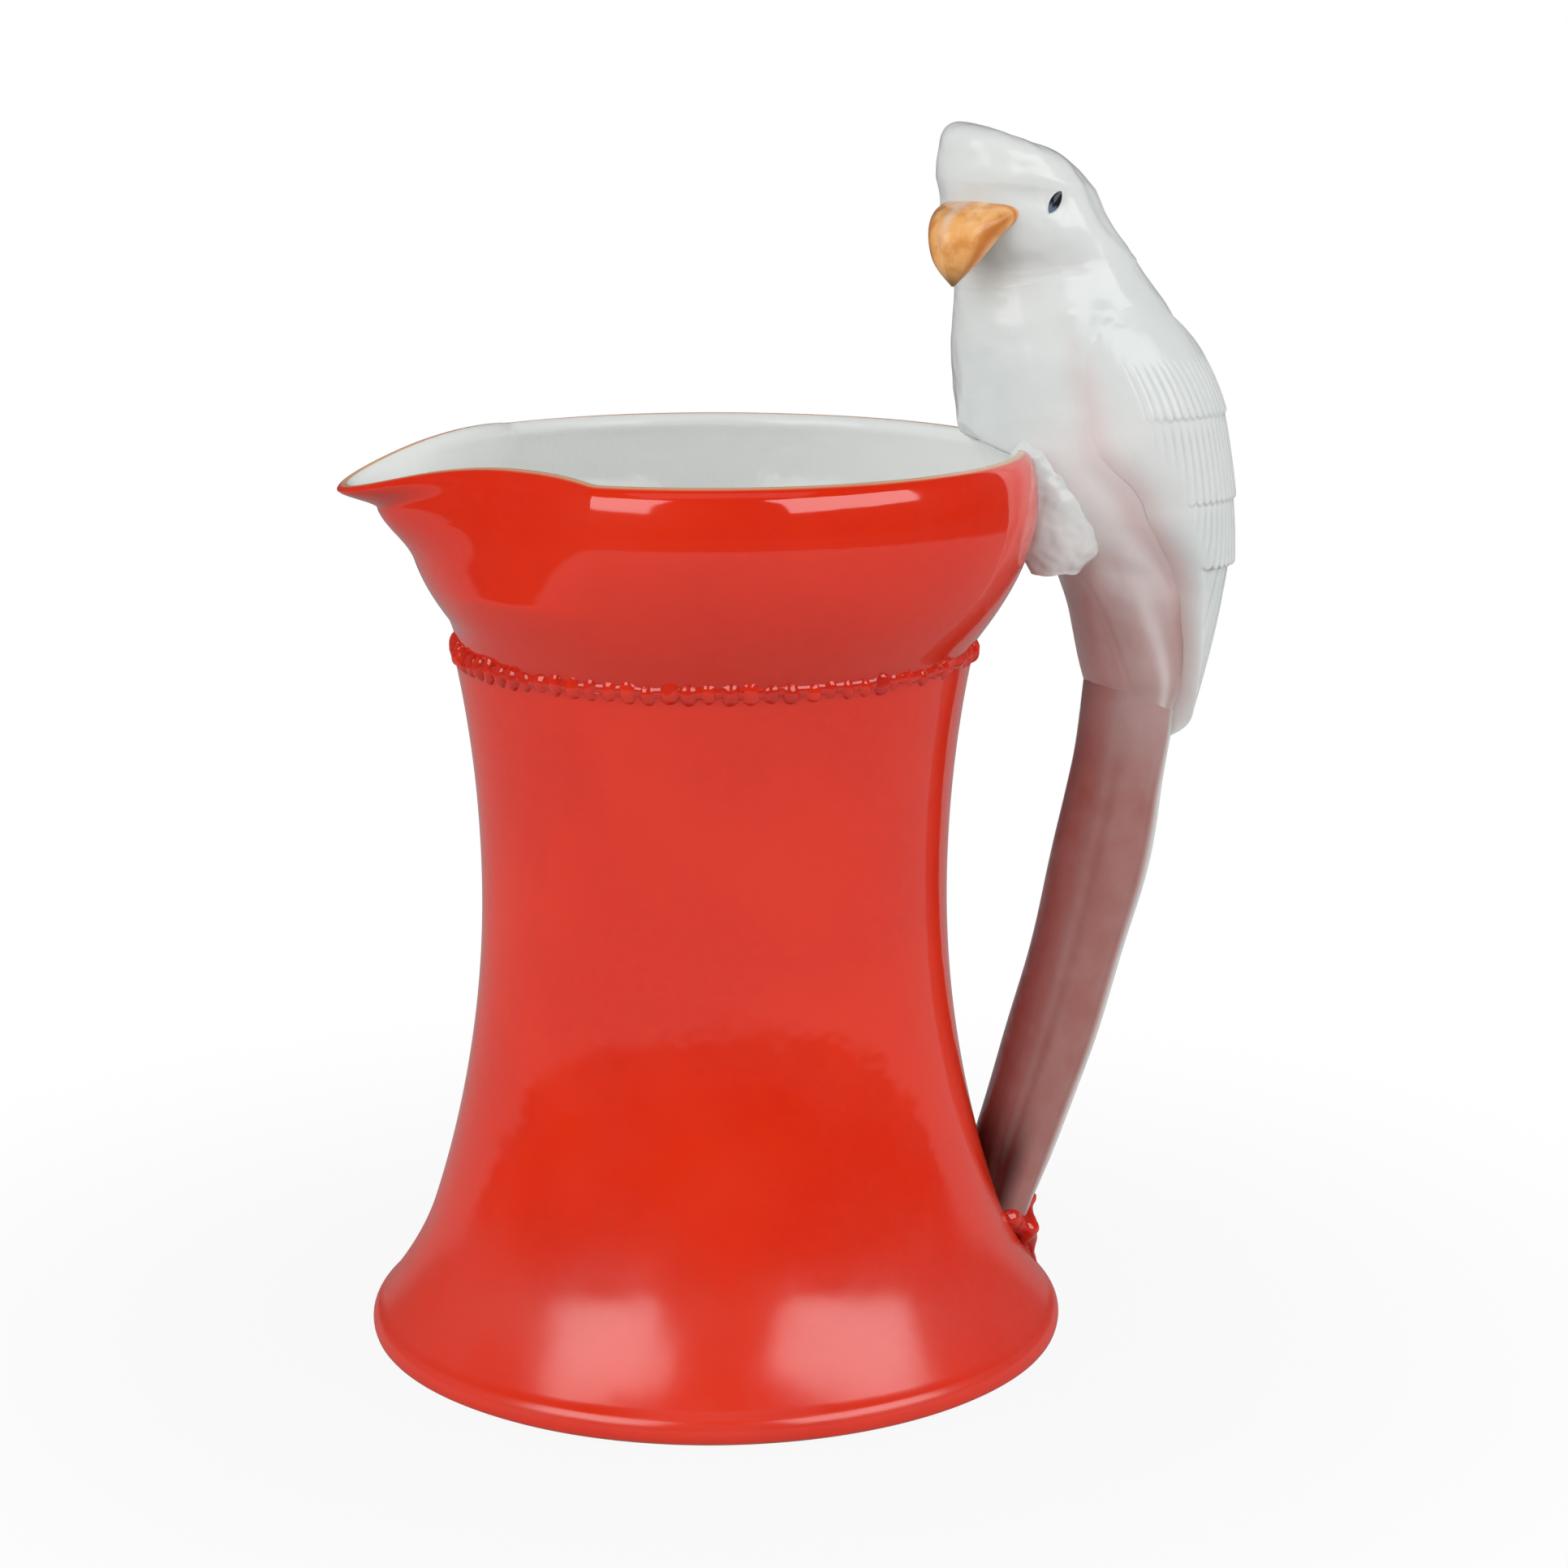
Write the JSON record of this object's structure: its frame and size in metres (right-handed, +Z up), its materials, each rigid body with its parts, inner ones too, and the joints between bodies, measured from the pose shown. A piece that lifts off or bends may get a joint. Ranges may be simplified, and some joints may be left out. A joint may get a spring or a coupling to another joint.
{
  "type": "bird handle creamer",
  "caption": "Small porcelain jug: flared red column, round bowl with a pulled spout, and a white parakeet perched on the rim whose long tail is the handle.",
  "frame": {"origin": "on the jug's axis, in the plane of the foot ring that it stands on", "axes": "+Z up the jug's axis, -X towards the spout, +X towards the bird and its tail handle"},
  "size_m": [0.0886, 0.0694, 0.1205],
  "materials": {
    "porcelain": "clear gloss glaze over white porcelain",
    "red_glaze": "gloss orange-red glaze",
    "beak_enamel": "brushed ochre enamel under gloss glaze",
    "eye_enamel": "black gloss enamel"
  },
  "bodies": {
    "root": {"column": "porcelain", "column_glaze": "red_glaze", "beaded_band": "red_glaze", "bowl": "porcelain", "bowl_glaze": "red_glaze", "bird_body": "porcelain", "bird_head": "porcelain", "beak": "beak_enamel", "left_eye": "eye_enamel", "right_eye": "eye_enamel", "left_wing": "porcelain", "right_wing": "porcelain", "left_leg": "porcelain", "right_leg": "porcelain", "tail": "porcelain", "tail_joint": "red_glaze"}
  },
  "joints": []
}
